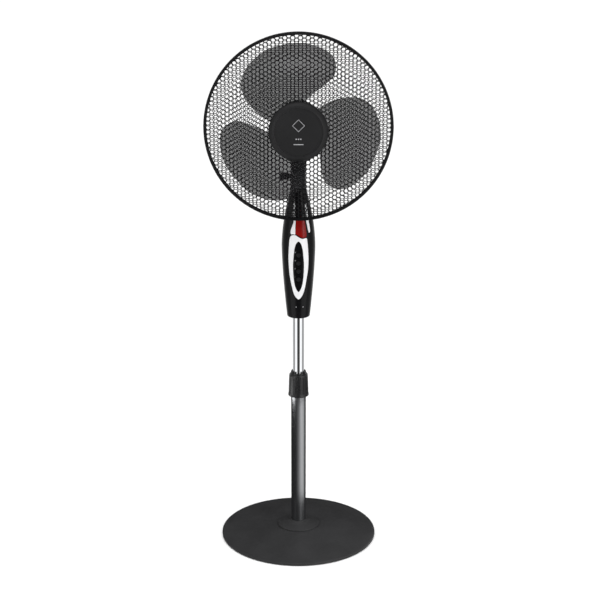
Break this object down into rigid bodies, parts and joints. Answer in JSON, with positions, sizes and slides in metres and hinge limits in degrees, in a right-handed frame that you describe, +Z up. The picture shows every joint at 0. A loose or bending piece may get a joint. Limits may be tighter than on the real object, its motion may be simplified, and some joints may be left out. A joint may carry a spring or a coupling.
{
  "type": "pedestal fan",
  "caption": "Pedestal fan with a disc base, telescopic pole, glossy control housing, tilting and oscillating head, mesh guard and translucent blades.",
  "frame": {"origin": "on the floor, under the pole's axis, at the centre of the round base", "axes": "+Z up along the pole, -Y the way the air blows, +X to the right seen from the front"},
  "size_m": [0.4279, 0.38, 1.25],
  "materials": {
    "base_paint": "satin charcoal powder coat",
    "ballast": "bare cast iron",
    "foot_rubber": "black rubber",
    "pole_paint": "gloss gunmetal paint",
    "chrome_tube": "bright chrome plating",
    "collar_plastic": "matt black plastic",
    "housing_gloss": "high gloss black",
    "accent_white": "gloss pearl white",
    "display_red": "translucent dark red",
    "window_black": "smoked gloss window",
    "button_black": "satin black keys",
    "clear_lens": "clear lens",
    "board_green": "circuit board",
    "zinc_steel": "zinc plated steel",
    "spring_plastic": "natural nylon",
    "neck_black": "satin black moulding",
    "motor_black": "fine textured black",
    "motor_steel": "laminated steel",
    "die_cast": "die-cast alloy",
    "winding_copper": "varnished copper",
    "guard_wire": "black coated wire",
    "hub_satin": "satin dark grey",
    "blade_smoke": "smoked translucent"
  },
  "bodies": {
    "base": {"base_cover": "base_paint", "base_weight": "ballast", "base_feet": "foot_rubber", "pole_socket": "base_paint", "base_screws": "zinc_steel", "lower_pole": "pole_paint", "pole_plug": "spring_plastic", "base_bolt": "zinc_steel"},
    "collet": {"collet_sleeve": "spring_plastic"},
    "collar": {"height_collar": "collar_plastic", "collar_crown": "collar_plastic"},
    "column": {"inner_pole": "chrome_tube", "pole_bush": "spring_plastic", "housing_front": "housing_gloss", "housing_rear": "housing_gloss", "accent_panel": "accent_white", "display_lens": "display_red", "control_window": "window_black", "circuit_board": "board_green", "housing_screws": "zinc_steel", "clamp_screw": "collar_plastic", "indicator_lenses": "clear_lens", "cord_inlet": "foot_rubber", "neck_bracket": "die_cast"},
    "key_1": {"button_1": "button_black"},
    "key_2": {"button_2": "button_black"},
    "key_3": {"button_3": "button_black"},
    "key_4": {"button_4": "button_black"},
    "neck_body": {"neck": "neck_black", "tilt_nut": "zinc_steel", "swivel_pin": "zinc_steel", "link_post": "zinc_steel"},
    "tilt_lock": {"tilt_knob": "neck_black", "tilt_bolt": "zinc_steel"},
    "head": {"motor_mount": "die_cast", "front_plate": "motor_black", "motor_cover": "motor_black", "stator": "motor_steel", "windings": "winding_copper", "end_brackets": "die_cast", "cover_post": "die_cast", "cover_screw": "zinc_steel", "swing_case": "motor_black", "swing_motor": "motor_steel", "capacitor": "motor_steel", "rear_guard": "guard_wire", "guard_nut": "neck_black", "front_guard": "guard_wire", "hub_cap": "hub_satin", "guard_band": "guard_wire"},
    "link": {"link_arm": "zinc_steel"},
    "crank_body": {"crank": "spring_plastic"},
    "spinner": {"rotor": "motor_steel", "motor_shaft": "zinc_steel", "fan_blade": "blade_smoke", "blade_nut": "neck_black"}
  },
  "joints": [
    {"name": "column_turn", "type": "hinge", "parent": "base", "child": "collet", "pos_m": [0, 0, 0.4], "axis": [0, 0, 1], "range_deg": [-180, 180]},
    {"name": "height", "type": "slide", "parent": "collet", "child": "column", "axis": [0, 0, 1], "range_m": [-0.13, 0.14]},
    {"name": "collar_turn", "type": "hinge", "parent": "base", "child": "collar", "pos_m": [0, 0, 0.39], "axis": [0, 0, 1], "range_deg": [0, 270]},
    {"name": "tilt", "type": "hinge", "parent": "column", "child": "neck_body", "pos_m": [0, 0, 0.907], "axis": [-1, 0, 0], "range_deg": [-12, 25]},
    {"name": "tilt_lock_turn", "type": "hinge", "parent": "neck_body", "child": "tilt_lock", "pos_m": [-0.03, 0, 0.907], "axis": [-1, 0, 0], "range_deg": [0, 360]},
    {"name": "oscillation", "type": "hinge", "parent": "neck_body", "child": "head", "pos_m": [0, 0, 0.96], "axis": [0, 0, 1], "range_deg": [-40, 40]},
    {"name": "link_swing", "type": "hinge", "parent": "neck_body", "child": "link", "pos_m": [0.0185, 0, 0.953], "axis": [0, 0, 1], "range_deg": [-41, 41]},
    {"name": "crank_spin", "type": "hinge", "parent": "head", "child": "crank_body", "pos_m": [0.008, 0.04, 0.97], "axis": [0, 0, 1], "range_deg": [-60, 60]},
    {"name": "blade_spin", "type": "hinge", "parent": "head", "child": "spinner", "pos_m": [0, -0.08, 1.036], "axis": [0, 1, 0], "continuous": true},
    {"name": "key_1_press", "type": "slide", "parent": "column", "child": "key_1", "axis": [0, 1, 0], "range_m": [0, 0.001], "stiffness_N_per_m": 900},
    {"name": "key_2_press", "type": "slide", "parent": "column", "child": "key_2", "axis": [0, 1, 0], "range_m": [0, 0.001], "stiffness_N_per_m": 900},
    {"name": "key_3_press", "type": "slide", "parent": "column", "child": "key_3", "axis": [0, 1, 0], "range_m": [0, 0.001], "stiffness_N_per_m": 900},
    {"name": "key_4_press", "type": "slide", "parent": "column", "child": "key_4", "axis": [0, 1, 0], "range_m": [0, 0.001], "stiffness_N_per_m": 900}
  ],
  "couplings": [
    {"joint": "link_swing", "follows": "oscillation", "ratio": 1},
    {"joint": "crank_spin", "follows": "oscillation", "ratio": -1.44}
  ]
}
